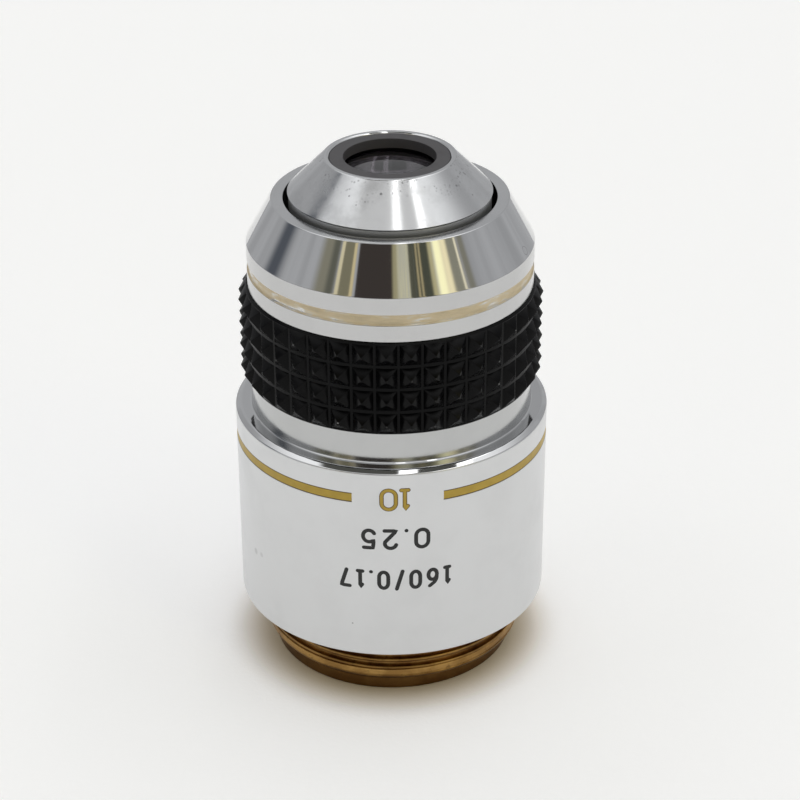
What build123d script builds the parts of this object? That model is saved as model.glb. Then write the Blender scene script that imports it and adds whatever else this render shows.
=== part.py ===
"""Ten-times microscope objective with an RMS thread, standing on its thread with the nose up.

Origin: centre of the thread's foot. +Z runs along the optical axis to the nose. Millimetres.
Turned pieces are half sections (radius, height) revolved about Z.
Angles round the axis are counted from the front, -Y, towards +X.
"""

import os
from math import cos, radians, sin, sqrt

from build123d import *

os.makedirs("parts", exist_ok=True)

# Clearances
slip = 0.02  # radial clearance of turned fits
end_play = 0.02  # axial clearance where a stack must not be pinched

# RMS mounting thread
thread_r = 10.16
thread_length = 4.9  # foot to shoulder
pilot_step = 0.76  # pilot below the thread's crests
pilot_length = 1.35
foot_chamfer = 0.2
thread_lead = 0.4
relief_step = 0.71
relief_length = 0.65

# Core: flange, hub, and the shelf that the lens tube is pulled against
flange_thickness = 2.5
hub_wall = 2.08
hub_engagement = 3.55  # length of hub inside the front sleeve
shelf_height = 5.1  # shelf's lower face above the shoulder
shelf_thickness = 2.0
shelf_clearance = 0.05  # round the tube's tail

# Barrel sleeve
barrel_length = 15.8  # shoulder to the outer edge of the polished rim
barrel_wall = 1.1
barrel_foot_wall = 0.78  # round the core's flange
barrel_edge = 0.12
barrel_web = 2.2  # solid end of the barrel below its rim
rim_bevel_width = 0.4
rim_bevel_height = 0.25
channel_width = 0.85
channel_rise = 0.03
neck_length = 2.47

# Engraved ring line, broken at the front where the magnification stands
line_drop = 1.74  # rim's outer edge to the upper edge of the line
line_width = 0.72
line_depth = 0.06
line_gap_start = -14.0
line_gap_end = 18.7

# Grip ring: rows of square pyramids
grip_rows = 4
grip_row_pitch = 1.8325
grip_teeth = 40
grip_phase = 3.0  # angle of the first axial groove
grip_height = 0.55  # floors between the rows to the tips
grip_groove_cut = 0.05  # axial grooves below the floors between the rows
grip_floor_rise = 0.2  # those floors above the band
grip_seat_step = 0.35  # the ring's seat below the band
grip_floor = 0.15  # flat floor of every groove
grip_flat = 0.09  # small flat on every tip

# Front sleeve
sleeve_wall = 1.13  # over the hub
band_length = 3.47
groove_offset = 1.32  # lower edge of the colour groove above the band's foot
groove_width = 0.85
groove_depth = 0.12
cone_height = 3.38
flat_width = 0.9
nose_hole_clearance = 0.32
nose_hole_depth = 4.0
sleeve_clearance = 0.3  # round the lens tube's flange
sleeve_step_gap = 0.2  # hub's end to the sleeve's inner step

# Nose cone, screwed on the lens tube
nose_gap = 0.44  # nose base above the sleeve's flat
nose_height = 2.73
nose_lip = 0.1  # base of the cone beyond its skirt
nose_rim_width = 0.3
nose_rim_flare = 0.11
nose_rim_bevel = 0.1
skirt_wall = 0.58
skirt_length = 2.2  # thread engagement on the lens tube
undercut_depth = 0.2
undercut_width = 0.06

# Front cell and doublet
cell_recess = 0.1  # cell's face below the nose rim
cell_neck = 2.7
cell_neck_wall = 0.43
cell_flange = 0.8
cell_flange_margin = 0.3  # flange inside the lens tube's spigot radius
front_lip = 0.75  # cell's face to the glass
front_lens_r = 4.0
front_seat = 0.58  # overlap of the lip on the glass
front_flint_edge = 2.2
front_cement_radius = 7.0
front_crown_edge = 0.8
front_back_radius = 9.0
front_ring_width = 0.7

# Rear cell and doublet
lens_separation = 16.55  # front surface of one doublet to that of the other
rear_lens_r = 4.7
rear_lip = 0.7
rear_seat = 0.5
rear_cell_wall = 0.86
rear_flint_edge = 2.4
rear_cement_radius = 8.5
rear_crown_edge = 0.9
rear_back_radius = 12.0
rear_ring_width = 0.8

# Retaining rings, stop and cell ends
ring_thickness = 0.8
ring_slot_width = 0.6
ring_slot_depth = 0.45
cell_skirt = 0.25  # cell beyond its retaining ring
stop_thickness = 0.4
stop_reach = 0.3  # stop inside the rear cell's opening
spacer_wall = 0.65

# Lens tube, shim and nut
tube_wall = 1.9
tube_flange = 2.0
tube_neck_step = 0.2
tube_spigot_step = 0.6
tube_ledge = 0.58  # step that carries the stack of cells
tube_tail_wall = 1.1
tube_tail_clear = 0.3  # tube's body above the shelf, so that the nut clamps the flange
shim_thickness = 0.3
shim_width = 1.08
nut_thickness = 1.6
nut_width = 0.78
nut_clearance = 0.3  # in the rear bore
nut_slot_width = 1.0
nut_slot_depth = 0.6

# Centring screws in the hub
screw_r = 0.8
screw_count = 3
screw_height = 8.6  # above the flange
screw_recess = 0.15  # screw's outer end below the hub's surface
socket_across = 0.7
socket_depth = 0.8

# Rear baffle
baffle_inset = 1.0
baffle_thickness = 1.6
baffle_width = 1.8
baffle_flare = 1.0
baffle_slot_width = 1.0
baffle_slot_depth = 0.5

# Radii of the glass, its seats and rings
rear_opening_r = rear_lens_r - rear_seat
rear_ring_bore_r = rear_lens_r - rear_ring_width
stop_opening_r = rear_opening_r - stop_reach
front_opening_r = front_lens_r - front_seat
front_ring_bore_r = front_lens_r - front_ring_width

# Radii of the cells, the lens tube and its nut, from the rear lens outwards
stack_r = rear_lens_r + slip + rear_cell_wall
tube_bore_r = stack_r + slip
tube_body_r = tube_bore_r + tube_wall
tube_neck_r = tube_body_r - tube_neck_step
tube_spigot_r = tube_body_r - tube_spigot_step
tube_tail_bore_r = stack_r - tube_ledge
tube_tail_r = tube_tail_bore_r + tube_tail_wall
nut_r = tube_tail_r + slip + nut_width
cell_r = front_lens_r + slip + cell_neck_wall
cell_flange_r = tube_spigot_r - cell_flange_margin

# Radii of the core, between the lens tube and the thread
hub_bore_r = tube_body_r + slip
shelf_bore_r = tube_tail_r + shelf_clearance
rear_bore_r = nut_r + nut_clearance
pilot_r = thread_r - pilot_step
relief_r = thread_r - relief_step
baffle_opening_r = rear_bore_r - baffle_width
baffle_mouth_r = baffle_opening_r + baffle_flare

# Radii of the nose cone and of what stands round the hub
skirt_r = tube_spigot_r + slip + skirt_wall
undercut_r = skirt_r - undercut_depth
nose_base_r = skirt_r + nose_lip
nose_rim_r = cell_r + slip + nose_rim_flare + nose_rim_width
nose_hole_r = nose_base_r + nose_hole_clearance
flat_r = nose_hole_r + flat_width
hub_r = hub_bore_r + hub_wall
tube_flange_r = hub_bore_r + shim_width
sleeve_bore_r = tube_flange_r + sleeve_clearance
neck_r = hub_r + slip + sleeve_wall
band_r = neck_r
grip_seat_r = band_r - grip_seat_step
grip_root_r = band_r + grip_floor_rise
grip_groove_r = grip_root_r - grip_groove_cut
grip_tip_r = grip_root_r + grip_height
barrel_r = neck_r + channel_width + rim_bevel_width
barrel_bore_r = barrel_r - barrel_wall
flange_r = barrel_r - barrel_foot_wall - slip

# Heights that follow from the lengths above
z_shoulder = thread_length
z_flange = z_shoulder + flange_thickness
z_shelf = z_shoulder + shelf_height
z_shelf_top = z_shelf + shelf_thickness
z_rim = z_shoulder + barrel_length
z_line = z_rim - line_drop - line_width
z_channel = z_rim + rim_bevel_height
z_neck = z_channel + channel_rise
z_grip = z_neck + neck_length
z_hub = z_grip + hub_engagement
z_band = z_grip + grip_rows * grip_row_pitch
z_groove = z_band + groove_offset
z_cone = z_band + band_length
z_flat = z_cone + cone_height
z_nose_base = z_flat + nose_gap
z_nose = z_nose_base + nose_height
z_cell = z_nose - cell_recess
z_cell_shoulder = z_cell - cell_neck
z_tube = z_cell_shoulder - cell_flange
z_shim = z_hub + shim_thickness
z_tube_flange = z_shim + tube_flange
z_spigot = z_tube - skirt_length
z_tube_body = z_shelf_top + tube_tail_clear
z_tail = z_shelf - nut_thickness


def sag(radius, height):
    """Depth of a spherical face of this radius at this height from its axis."""
    return radius - sqrt(radius * radius - height * height)


# Heights of the front doublet, from its flat face down to its retaining ring
z_front_glass = z_cell - front_lip
z_front_cement = z_front_glass - front_flint_edge
z_front_back = z_front_cement - front_crown_edge
z_front_ring = z_front_back - sag(front_back_radius, front_lens_r) + sag(front_back_radius, front_ring_bore_r)
z_front_cell = z_front_ring - ring_thickness - cell_skirt

# Heights of the rear doublet, in the same order
z_rear_glass = z_front_glass - lens_separation
z_rear_cement = z_rear_glass - rear_flint_edge
z_rear_back = z_rear_cement - rear_crown_edge
z_rear_ring = z_rear_back - sag(rear_back_radius, rear_lens_r) + sag(rear_back_radius, rear_ring_bore_r)
z_rear_cell = z_rear_ring - ring_thickness - cell_skirt
z_rear_cell_top = z_rear_glass + rear_lip
z_stop = z_rear_cell_top + stop_thickness
z_spacer = z_front_cell - end_play


def turn(outline):
    """Revolve a closed half section of (radius, height) points in the active part."""
    with BuildSketch(Plane.XZ) as section:
        with BuildLine():
            Polyline(*outline, close=True)
        make_face()
    revolve(section.sketch, axis=Axis.Z)


def cut_slots(face_z, reach, width, depth):
    """Mill one driver slot right across a ring, from the face at this height into the metal above."""
    with BuildSketch(Plane.XY.offset(face_z)) as slot:
        Rectangle(2 * reach, width)
    extrude(slot.sketch, amount=depth, mode=Mode.SUBTRACT)


def radial_plane(angle, height, radius):
    """Plane across a radius, at this angle from the front, with its normal pointing outwards."""
    outwards = (sin(radians(angle)), -cos(radians(angle)), 0)
    origin = (radius * outwards[0], radius * outwards[1], height)
    return Plane(origin=origin, x_dir=(0, 0, 1), z_dir=outwards)


def section_plane(angle):
    """Half plane through the axis at this angle from the front, with its height up the sheet."""
    along = (sin(radians(angle)), -cos(radians(angle)), 0)
    normal = (along[1], -along[0], 0)
    return Plane(origin=(0, 0, 0), x_dir=along, z_dir=normal)


# Brass core: pilot, RMS thread at its major radius, relief, flange and the long hub
with BuildPart() as mount_body:
    turn(
        [
            (rear_bore_r, 0),
            (pilot_r - foot_chamfer, 0),
            (pilot_r, foot_chamfer),
            (pilot_r, pilot_length),
            (thread_r, pilot_length + thread_lead),
            (thread_r, z_shoulder - relief_length),
            (relief_r, z_shoulder - relief_length),
            (relief_r, z_shoulder),
            (flange_r, z_shoulder),
            (flange_r, z_flange),
            (hub_r, z_flange),
            (hub_r, z_hub),
            (hub_bore_r, z_hub),
            (hub_bore_r, z_shelf_top),
            (shelf_bore_r, z_shelf_top),
            (shelf_bore_r, z_shelf),
            (rear_bore_r, z_shelf),
        ]
    )
    for number in range(screw_count):
        with BuildSketch(radial_plane(number * 360 / screw_count, z_flange + screw_height, hub_bore_r / 2)):
            Circle(screw_r + slip)
        extrude(amount=hub_r, mode=Mode.SUBTRACT)
mount_body.part.label = "mount_body"

# Grub screws that centre the lens tube in the hub
with BuildPart() as centring_screws:
    for number in range(screw_count):
        angle = number * 360 / screw_count
        with BuildSketch(radial_plane(angle, z_flange + screw_height, hub_bore_r)):
            Circle(screw_r)
        extrude(amount=hub_r - hub_bore_r - screw_recess)
        with BuildSketch(radial_plane(angle, z_flange + screw_height, hub_r - screw_recess)):
            RegularPolygon(socket_across / 2, 6, major_radius=False)
        extrude(amount=-socket_depth, mode=Mode.SUBTRACT)
centring_screws.part.label = "centring_screws"

# Barrel: slides over the hub, rests on the flange, and ends in rim, channel and neck
with BuildPart() as barrel_sleeve:
    turn(
        [
            (flange_r + slip, z_shoulder),
            (barrel_r - barrel_edge, z_shoulder),
            (barrel_r, z_shoulder + barrel_edge),
            (barrel_r, z_rim),
            (barrel_r - rim_bevel_width, z_channel),
            (neck_r, z_neck),
            (neck_r, z_grip),
            (hub_r + slip, z_grip),
            (hub_r + slip, z_rim - barrel_web),
            (barrel_bore_r, z_rim - barrel_web),
            (barrel_bore_r, z_flange),
            (flange_r + slip, z_flange),
        ]
    )
    line_arc = 360 - (line_gap_end - line_gap_start)
    with BuildSketch(section_plane(line_gap_end)):
        with BuildLine():
            Polyline(
                (barrel_r - line_depth, z_line),
                (barrel_r + line_depth, z_line),
                (barrel_r + line_depth, z_line + line_width),
                (barrel_r - line_depth, z_line + line_width),
                close=True,
            )
        make_face()
    revolve(axis=Axis.Z, revolution_arc=line_arc, mode=Mode.SUBTRACT)
barrel_sleeve.part.label = "barrel_sleeve"

# Front sleeve: seat for the grip ring, band with the colour groove, cone and flat
with BuildPart() as front_sleeve:
    turn(
        [
            (hub_r + slip, z_grip),
            (grip_seat_r, z_grip),
            (grip_seat_r, z_band),
            (band_r, z_band),
            (band_r, z_groove),
            (band_r - groove_depth, z_groove + groove_depth),
            (band_r - groove_depth, z_groove + groove_width - groove_depth),
            (band_r, z_groove + groove_width),
            (band_r, z_cone),
            (flat_r, z_flat),
            (nose_hole_r, z_flat),
            (nose_hole_r, z_flat - nose_hole_depth),
            (sleeve_bore_r, z_flat - nose_hole_depth),
            (sleeve_bore_r, z_hub + sleeve_step_gap),
            (hub_r + slip, z_hub + sleeve_step_gap),
        ]
    )
front_sleeve.part.label = "front_sleeve"

# Grip ring: the rows are turned as ridges, then the axial grooves cut them into pyramids
grip_outline = [(grip_seat_r + slip, z_grip), (grip_root_r, z_grip)]
for row in range(grip_rows):
    row_foot = z_grip + row * grip_row_pitch
    row_middle = row_foot + grip_row_pitch / 2
    grip_outline += [
        (grip_root_r, row_foot + grip_floor / 2),
        (grip_tip_r, row_middle - grip_flat / 2),
        (grip_tip_r, row_middle + grip_flat / 2),
        (grip_root_r, row_foot + grip_row_pitch - grip_floor / 2),
    ]
grip_outline += [(grip_root_r, z_band), (grip_seat_r + slip, z_band)]
tooth_half_angle = radians(180 / grip_teeth)
groove_half_width = grip_tip_r * sin(tooth_half_angle) - grip_flat / 2
groove_mouth_r = grip_tip_r * cos(tooth_half_angle)
with BuildPart() as grip_ring:
    turn(grip_outline)
    with BuildSketch(Plane.XY.offset(z_grip)):
        with PolarLocations(0, grip_teeth, start_angle=grip_phase):
            Polygon(
                (grip_groove_r, -grip_floor / 2),
                (groove_mouth_r, -groove_half_width),
                (grip_tip_r + grip_flat, -groove_half_width),
                (grip_tip_r + grip_flat, groove_half_width),
                (groove_mouth_r, groove_half_width),
                (grip_groove_r, grip_floor / 2),
                align=None,
            )
    extrude(amount=z_band - z_grip, mode=Mode.SUBTRACT)
grip_ring.part.label = "grip_ring"

# Nose cone: the cap that screws on the lens tube and holds the front cell down
with BuildPart() as nose_cone:
    turn(
        [
            (tube_spigot_r + slip, z_spigot + end_play),
            (skirt_r, z_spigot + end_play),
            (skirt_r, z_nose_base - 2 * undercut_width),
            (undercut_r, z_nose_base - undercut_width),
            (undercut_r, z_nose_base),
            (nose_base_r, z_nose_base),
            (nose_rim_r, z_nose),
            (nose_rim_r - nose_rim_width, z_nose),
            (cell_r + slip, z_nose - nose_rim_bevel),
            (cell_r + slip, z_cell_shoulder),
            (tube_spigot_r + slip, z_cell_shoulder),
        ]
    )
nose_cone.part.label = "nose_cone"

# Front cell: a stepped black bush, loaded with its doublet from behind
with BuildPart() as front_lens_cell:
    turn(
        [
            (front_opening_r, z_cell),
            (cell_r, z_cell),
            (cell_r, z_cell_shoulder),
            (cell_flange_r, z_cell_shoulder),
            (cell_flange_r, z_tube),
            (stack_r, z_tube),
            (stack_r, z_front_cell),
            (front_lens_r + slip, z_front_cell),
            (front_lens_r + slip, z_front_glass),
            (front_opening_r, z_front_glass),
        ]
    )
front_lens_cell.part.label = "front_lens_cell"


def cement_arc(radius, rim_r, rim_z):
    """Half arc of a spherical face that is deepest, towards the nose, on the axis."""
    middle = rim_r / 2
    apex = rim_z + sag(radius, rim_r)
    ThreePointArc((0, apex), (middle, apex - sag(radius, middle)), (rim_r, rim_z))


def back_arc(radius, rim_r, rim_z):
    """Half arc of a spherical face that bulges away from the nose."""
    middle = rim_r / 2
    apex = rim_z - sag(radius, rim_r)
    ThreePointArc((rim_r, rim_z), (middle, apex + sag(radius, middle)), (0, apex))


# Doublets: a flint with a flat front face, cemented to a biconvex crown behind it
with BuildPart() as front_flint_lens:
    with BuildSketch(Plane.XZ):
        with BuildLine():
            cement_arc(front_cement_radius, front_lens_r, z_front_cement)
            Line((front_lens_r, z_front_cement), (front_lens_r, z_front_glass))
            Line((front_lens_r, z_front_glass), (0, z_front_glass))
            Line((0, z_front_glass), (0, z_front_cement + sag(front_cement_radius, front_lens_r)))
        make_face()
    revolve(axis=Axis.Z)
front_flint_lens.part.label = "front_flint_lens"

with BuildPart() as front_crown_lens:
    with BuildSketch(Plane.XZ):
        with BuildLine():
            cement_arc(front_cement_radius, front_lens_r, z_front_cement)
            Line((front_lens_r, z_front_cement), (front_lens_r, z_front_back))
            back_arc(front_back_radius, front_lens_r, z_front_back)
            Line(
                (0, z_front_back - sag(front_back_radius, front_lens_r)),
                (0, z_front_cement + sag(front_cement_radius, front_lens_r)),
            )
        make_face()
    revolve(axis=Axis.Z)
front_crown_lens.part.label = "front_crown_lens"

with BuildPart() as rear_flint_lens:
    with BuildSketch(Plane.XZ):
        with BuildLine():
            cement_arc(rear_cement_radius, rear_lens_r, z_rear_cement)
            Line((rear_lens_r, z_rear_cement), (rear_lens_r, z_rear_glass))
            Line((rear_lens_r, z_rear_glass), (0, z_rear_glass))
            Line((0, z_rear_glass), (0, z_rear_cement + sag(rear_cement_radius, rear_lens_r)))
        make_face()
    revolve(axis=Axis.Z)
rear_flint_lens.part.label = "rear_flint_lens"

with BuildPart() as rear_crown_lens:
    with BuildSketch(Plane.XZ):
        with BuildLine():
            cement_arc(rear_cement_radius, rear_lens_r, z_rear_cement)
            Line((rear_lens_r, z_rear_cement), (rear_lens_r, z_rear_back))
            back_arc(rear_back_radius, rear_lens_r, z_rear_back)
            Line(
                (0, z_rear_back - sag(rear_back_radius, rear_lens_r)),
                (0, z_rear_cement + sag(rear_cement_radius, rear_lens_r)),
            )
        make_face()
    revolve(axis=Axis.Z)
rear_crown_lens.part.label = "rear_crown_lens"

# Slotted rings that hold the doublets in their cells by the rim of their bore
with BuildPart() as front_lens_retainer:
    turn(
        [
            (front_ring_bore_r, z_front_ring),
            (front_lens_r, z_front_ring),
            (front_lens_r, z_front_ring - ring_thickness),
            (front_ring_bore_r, z_front_ring - ring_thickness),
        ]
    )
    cut_slots(z_front_ring - ring_thickness, front_lens_r + slip, ring_slot_width, ring_slot_depth)
front_lens_retainer.part.label = "front_lens_retainer"

with BuildPart() as rear_lens_retainer:
    turn(
        [
            (rear_ring_bore_r, z_rear_ring),
            (rear_lens_r, z_rear_ring),
            (rear_lens_r, z_rear_ring - ring_thickness),
            (rear_ring_bore_r, z_rear_ring - ring_thickness),
        ]
    )
    cut_slots(z_rear_ring - ring_thickness, rear_lens_r + slip, ring_slot_width, ring_slot_depth)
rear_lens_retainer.part.label = "rear_lens_retainer"

# Rear cell, stop and spacer: the stack inside the lens tube
with BuildPart() as rear_lens_cell:
    turn(
        [
            (rear_opening_r, z_rear_cell_top),
            (stack_r, z_rear_cell_top),
            (stack_r, z_rear_cell),
            (rear_lens_r + slip, z_rear_cell),
            (rear_lens_r + slip, z_rear_glass),
            (rear_opening_r, z_rear_glass),
        ]
    )
rear_lens_cell.part.label = "rear_lens_cell"

with BuildPart() as aperture_stop:
    turn(
        [
            (stop_opening_r + stop_thickness, z_rear_cell_top),
            (stack_r, z_rear_cell_top),
            (stack_r, z_stop),
            (stop_opening_r, z_stop),
        ]
    )
aperture_stop.part.label = "aperture_stop"

with BuildPart() as spacer_tube:
    turn(
        [
            (stack_r - spacer_wall, z_stop),
            (stack_r, z_stop),
            (stack_r, z_spacer),
            (stack_r - spacer_wall, z_spacer),
        ]
    )
spacer_tube.part.label = "spacer_tube"

# Lens tube: its flange sits on the shim and the hub, and its tail passes the shelf
with BuildPart() as lens_tube:
    turn(
        [
            (tube_bore_r, z_tube),
            (tube_spigot_r, z_tube),
            (tube_spigot_r, z_spigot),
            (tube_neck_r, z_spigot),
            (tube_neck_r, z_tube_flange),
            (tube_flange_r, z_tube_flange),
            (tube_flange_r, z_shim),
            (tube_body_r, z_shim),
            (tube_body_r, z_tube_body),
            (tube_tail_r, z_tube_body),
            (tube_tail_r, z_tail),
            (tube_tail_bore_r, z_tail),
            (tube_tail_bore_r, z_rear_cell),
            (tube_bore_r, z_rear_cell),
        ]
    )
lens_tube.part.label = "lens_tube"

with BuildPart() as parfocal_shim:
    turn(
        [
            (hub_bore_r, z_hub),
            (tube_flange_r, z_hub),
            (tube_flange_r, z_shim),
            (hub_bore_r, z_shim),
        ]
    )
parfocal_shim.part.label = "parfocal_shim"

with BuildPart() as tube_nut:
    turn(
        [
            (tube_tail_r + slip, z_shelf),
            (nut_r, z_shelf),
            (nut_r, z_tail),
            (tube_tail_r + slip, z_tail),
        ]
    )
    cut_slots(z_tail, nut_r + slip, nut_slot_width, nut_slot_depth)
tube_nut.part.label = "tube_nut"

# Baffle in the thread's bore, with a funnel towards the eyepiece side
with BuildPart() as rear_baffle:
    turn(
        [
            (baffle_mouth_r, baffle_inset),
            (rear_bore_r - slip, baffle_inset),
            (rear_bore_r - slip, baffle_inset + baffle_thickness),
            (baffle_opening_r, baffle_inset + baffle_thickness),
        ]
    )
    cut_slots(baffle_inset, rear_bore_r, baffle_slot_width, baffle_slot_depth)
rear_baffle.part.label = "rear_baffle"

for piece in (
    mount_body,
    centring_screws,
    barrel_sleeve,
    front_sleeve,
    grip_ring,
    nose_cone,
    front_lens_cell,
    front_flint_lens,
    front_crown_lens,
    front_lens_retainer,
    rear_flint_lens,
    rear_crown_lens,
    rear_lens_retainer,
    rear_lens_cell,
    aperture_stop,
    spacer_tube,
    lens_tube,
    parfocal_shim,
    tube_nut,
    rear_baffle,
):
    export_step(piece.part, f"parts/{piece.part.label}.step")
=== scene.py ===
"""Looks of a ten-times microscope objective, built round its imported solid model.

The origin is the centre of the thread's foot, +Z runs up the optical axis and -Y faces the camera.
Angles round the axis are counted in degrees from the front, -Y, towards +X.
Sizes are millimetres in the dataclasses and metres in the meshes.
"""

import logging
from collections.abc import Callable, Sequence
from dataclasses import dataclass
from enum import Enum
from math import ceil, cos, degrees, pi, radians, sin, tan
from typing import Any

import bmesh
import bpy
from mathutils import Matrix, Vector

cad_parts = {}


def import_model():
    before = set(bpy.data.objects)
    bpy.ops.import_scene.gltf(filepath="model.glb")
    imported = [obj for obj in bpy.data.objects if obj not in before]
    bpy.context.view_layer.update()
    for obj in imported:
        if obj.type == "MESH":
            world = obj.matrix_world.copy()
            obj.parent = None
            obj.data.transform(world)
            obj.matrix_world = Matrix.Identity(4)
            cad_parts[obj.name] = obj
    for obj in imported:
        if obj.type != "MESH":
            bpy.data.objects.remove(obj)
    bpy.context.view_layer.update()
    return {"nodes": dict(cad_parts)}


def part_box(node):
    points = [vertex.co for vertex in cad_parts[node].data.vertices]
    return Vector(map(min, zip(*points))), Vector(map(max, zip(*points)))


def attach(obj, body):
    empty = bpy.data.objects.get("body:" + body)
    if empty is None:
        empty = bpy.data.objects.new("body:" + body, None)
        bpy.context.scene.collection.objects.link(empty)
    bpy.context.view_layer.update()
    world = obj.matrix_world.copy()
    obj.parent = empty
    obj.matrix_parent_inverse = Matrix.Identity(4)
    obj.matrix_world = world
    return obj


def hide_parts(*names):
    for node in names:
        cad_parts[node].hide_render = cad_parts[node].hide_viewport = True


LOG = logging.getLogger("objective")
MM = 0.001
ROOT = "root"
SEGMENTS = 240
SHARP = radians(32)
ROUND, SOFT, CRISP, KEEN = 0.06, 0.05, 0.04, 0.03  # easings of turned edges, in millimetres
Colour = tuple[float, float, float]
Point = tuple[float, float]


class Value:
    """A node's output that takes part in Python arithmetic."""

    def __init__(self, graph: "Graph", socket: Any) -> None:
        """Keep the socket with the graph that it belongs to."""
        self.graph = graph
        self.socket = socket

    def __add__(self, other: Any) -> "Value":
        """Sum."""
        return self.graph.math("ADD", self, other)

    def __sub__(self, other: Any) -> "Value":
        """Difference."""
        return self.graph.math("SUBTRACT", self, other)

    def __mul__(self, other: Any) -> "Value":
        """Product."""
        return self.graph.math("MULTIPLY", self, other)

    def __truediv__(self, other: Any) -> "Value":
        """Quotient."""
        return self.graph.math("DIVIDE", self, other)

    def __rsub__(self, other: Any) -> "Value":
        """Difference with this value last."""
        return self.graph.math("SUBTRACT", other, self)

    def __rtruediv__(self, other: Any) -> "Value":
        """Quotient with this value last."""
        return self.graph.math("DIVIDE", other, self)

    __radd__ = __add__
    __rmul__ = __mul__


class Graph:
    """A node tree that is filled from Python expressions."""

    def __init__(self, tree: Any) -> None:
        """Start from an empty tree."""
        self.tree = tree
        tree.nodes.clear()

    def node(self, kind: str, settings: dict | None = None, inputs: dict | None = None) -> Any:
        """Add one node.

        Args:
            kind: Blender's name of the node type.
            settings: properties, set before the inputs.
            inputs: values or links by socket name or number.

        Returns:
            The node.
        """
        node = self.tree.nodes.new(kind)
        for key, value in (settings or {}).items():
            setattr(node, key, value)
        for key, value in (inputs or {}).items():
            self.feed(node.inputs[key], value)
        return node

    def feed(self, socket: Any, value: Any) -> None:
        """Link a value to a socket, or set the socket to a constant."""
        if isinstance(value, Value):
            self.tree.links.new(value.socket, socket)
        else:
            socket.default_value = value

    def value(
        self, kind: str, settings: dict | None = None, inputs: dict | None = None, out: Any = 0
    ) -> Value:
        """Add one node and return the named or numbered output."""
        return Value(self, self.node(kind, settings, inputs).outputs[out])

    def math(self, operation: str, first: Any, second: Any = 0.0) -> Value:
        """Add a Math node."""
        return self.value("ShaderNodeMath", {"operation": operation}, {0: first, 1: second})

    def step(self, value: Any, low: float, high: float) -> Value:
        """Smooth step from 0 at low to 1 at high."""
        inputs = {"Value": value, "From Min": low, "From Max": high}
        return self.value("ShaderNodeMapRange", {"interpolation_type": "SMOOTHSTEP"}, inputs)

    def band(self, value: Any, low: float, high: float, edge: float) -> Value:
        """Smooth window that is 1 between low and high."""
        return self.step(value, low - edge, low + edge) * (1 - self.step(value, high - edge, high + edge))

    def blend(self, factor: Any, first: Any, second: Any) -> Value:
        """Mix two colours."""
        settings = {"data_type": "RGBA", "clamp_factor": True}
        return self.value("ShaderNodeMix", settings, {0: factor, 6: opaque(first), 7: opaque(second)}, 2)

    def place(self) -> Value:
        """Object coordinates."""
        return self.value("ShaderNodeTexCoord", out="Object")

    def parts(self, vector: Value) -> tuple[Value, Value, Value]:
        """Components of a vector."""
        node = self.node("ShaderNodeSeparateXYZ", inputs={0: vector})
        return Value(self, node.outputs[0]), Value(self, node.outputs[1]), Value(self, node.outputs[2])

    def distance(self, first: Any, second: Any) -> Value:
        """Distance between two points."""
        settings = {"operation": "DISTANCE"}
        return self.value("ShaderNodeVectorMath", settings, {0: first, 1: second}, "Value")

    def radius(self, x: Value, y: Value) -> Value:
        """Distance from the axis."""
        return self.math("SQRT", x * x + y * y)

    def vector(self, x: Any, y: Any, z: Any) -> Value:
        """Vector of three components."""
        return self.value("ShaderNodeCombineXYZ", inputs={0: x, 1: y, 2: z})

    def noise(self, vector: Value, scale: float, detail: float = 2.0, rough: float = 0.5) -> Value:
        """Noise from 0 to 1."""
        inputs = {"Vector": vector, "Scale": scale, "Detail": detail, "Roughness": rough}
        return self.value("ShaderNodeTexNoise", inputs=inputs)

    def bump(self, height: Value, strength: float = 1.0, distance: float = 1.0) -> Value:
        """Normal from a height in metres."""
        inputs = {"Strength": strength, "Distance": distance, "Height": height}
        return self.value("ShaderNodeBump", inputs=inputs, out="Normal")


def opaque(colour: Any) -> Any:
    """Colour with an alpha of 1, or a link as it is."""
    return (*colour, 1.0) if isinstance(colour, tuple) and len(colour) == 3 else colour


@dataclass(frozen=True)
class Finish:
    """A surface finish, named as in the workshop."""

    name: str

    def dress(self, graph: Graph) -> dict:
        """Inputs of the Principled shader, with what varies over the surface linked."""
        raise NotImplementedError

    def material(self) -> bpy.types.Material:
        """The finish's material, made once."""
        known = bpy.data.materials.get(self.name)
        if known is not None:
            return known
        made = bpy.data.materials.new(self.name)
        made.use_nodes = True
        graph = Graph(made.node_tree)
        shader = graph.value("ShaderNodeBsdfPrincipled", inputs=self.dress(graph))
        graph.node("ShaderNodeOutputMaterial", inputs={"Surface": shader})
        return made


@dataclass(frozen=True)
class Mark:
    """A small dark mark on a turned surface: a pit, a smudge or a ring-shaped scratch."""

    angle: float
    r: float
    z: float
    size: float  # radius in millimetres
    strength: float = 0.7
    ring: float = 0.0  # line width of a ring-shaped scratch, or 0 for a spot


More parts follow.
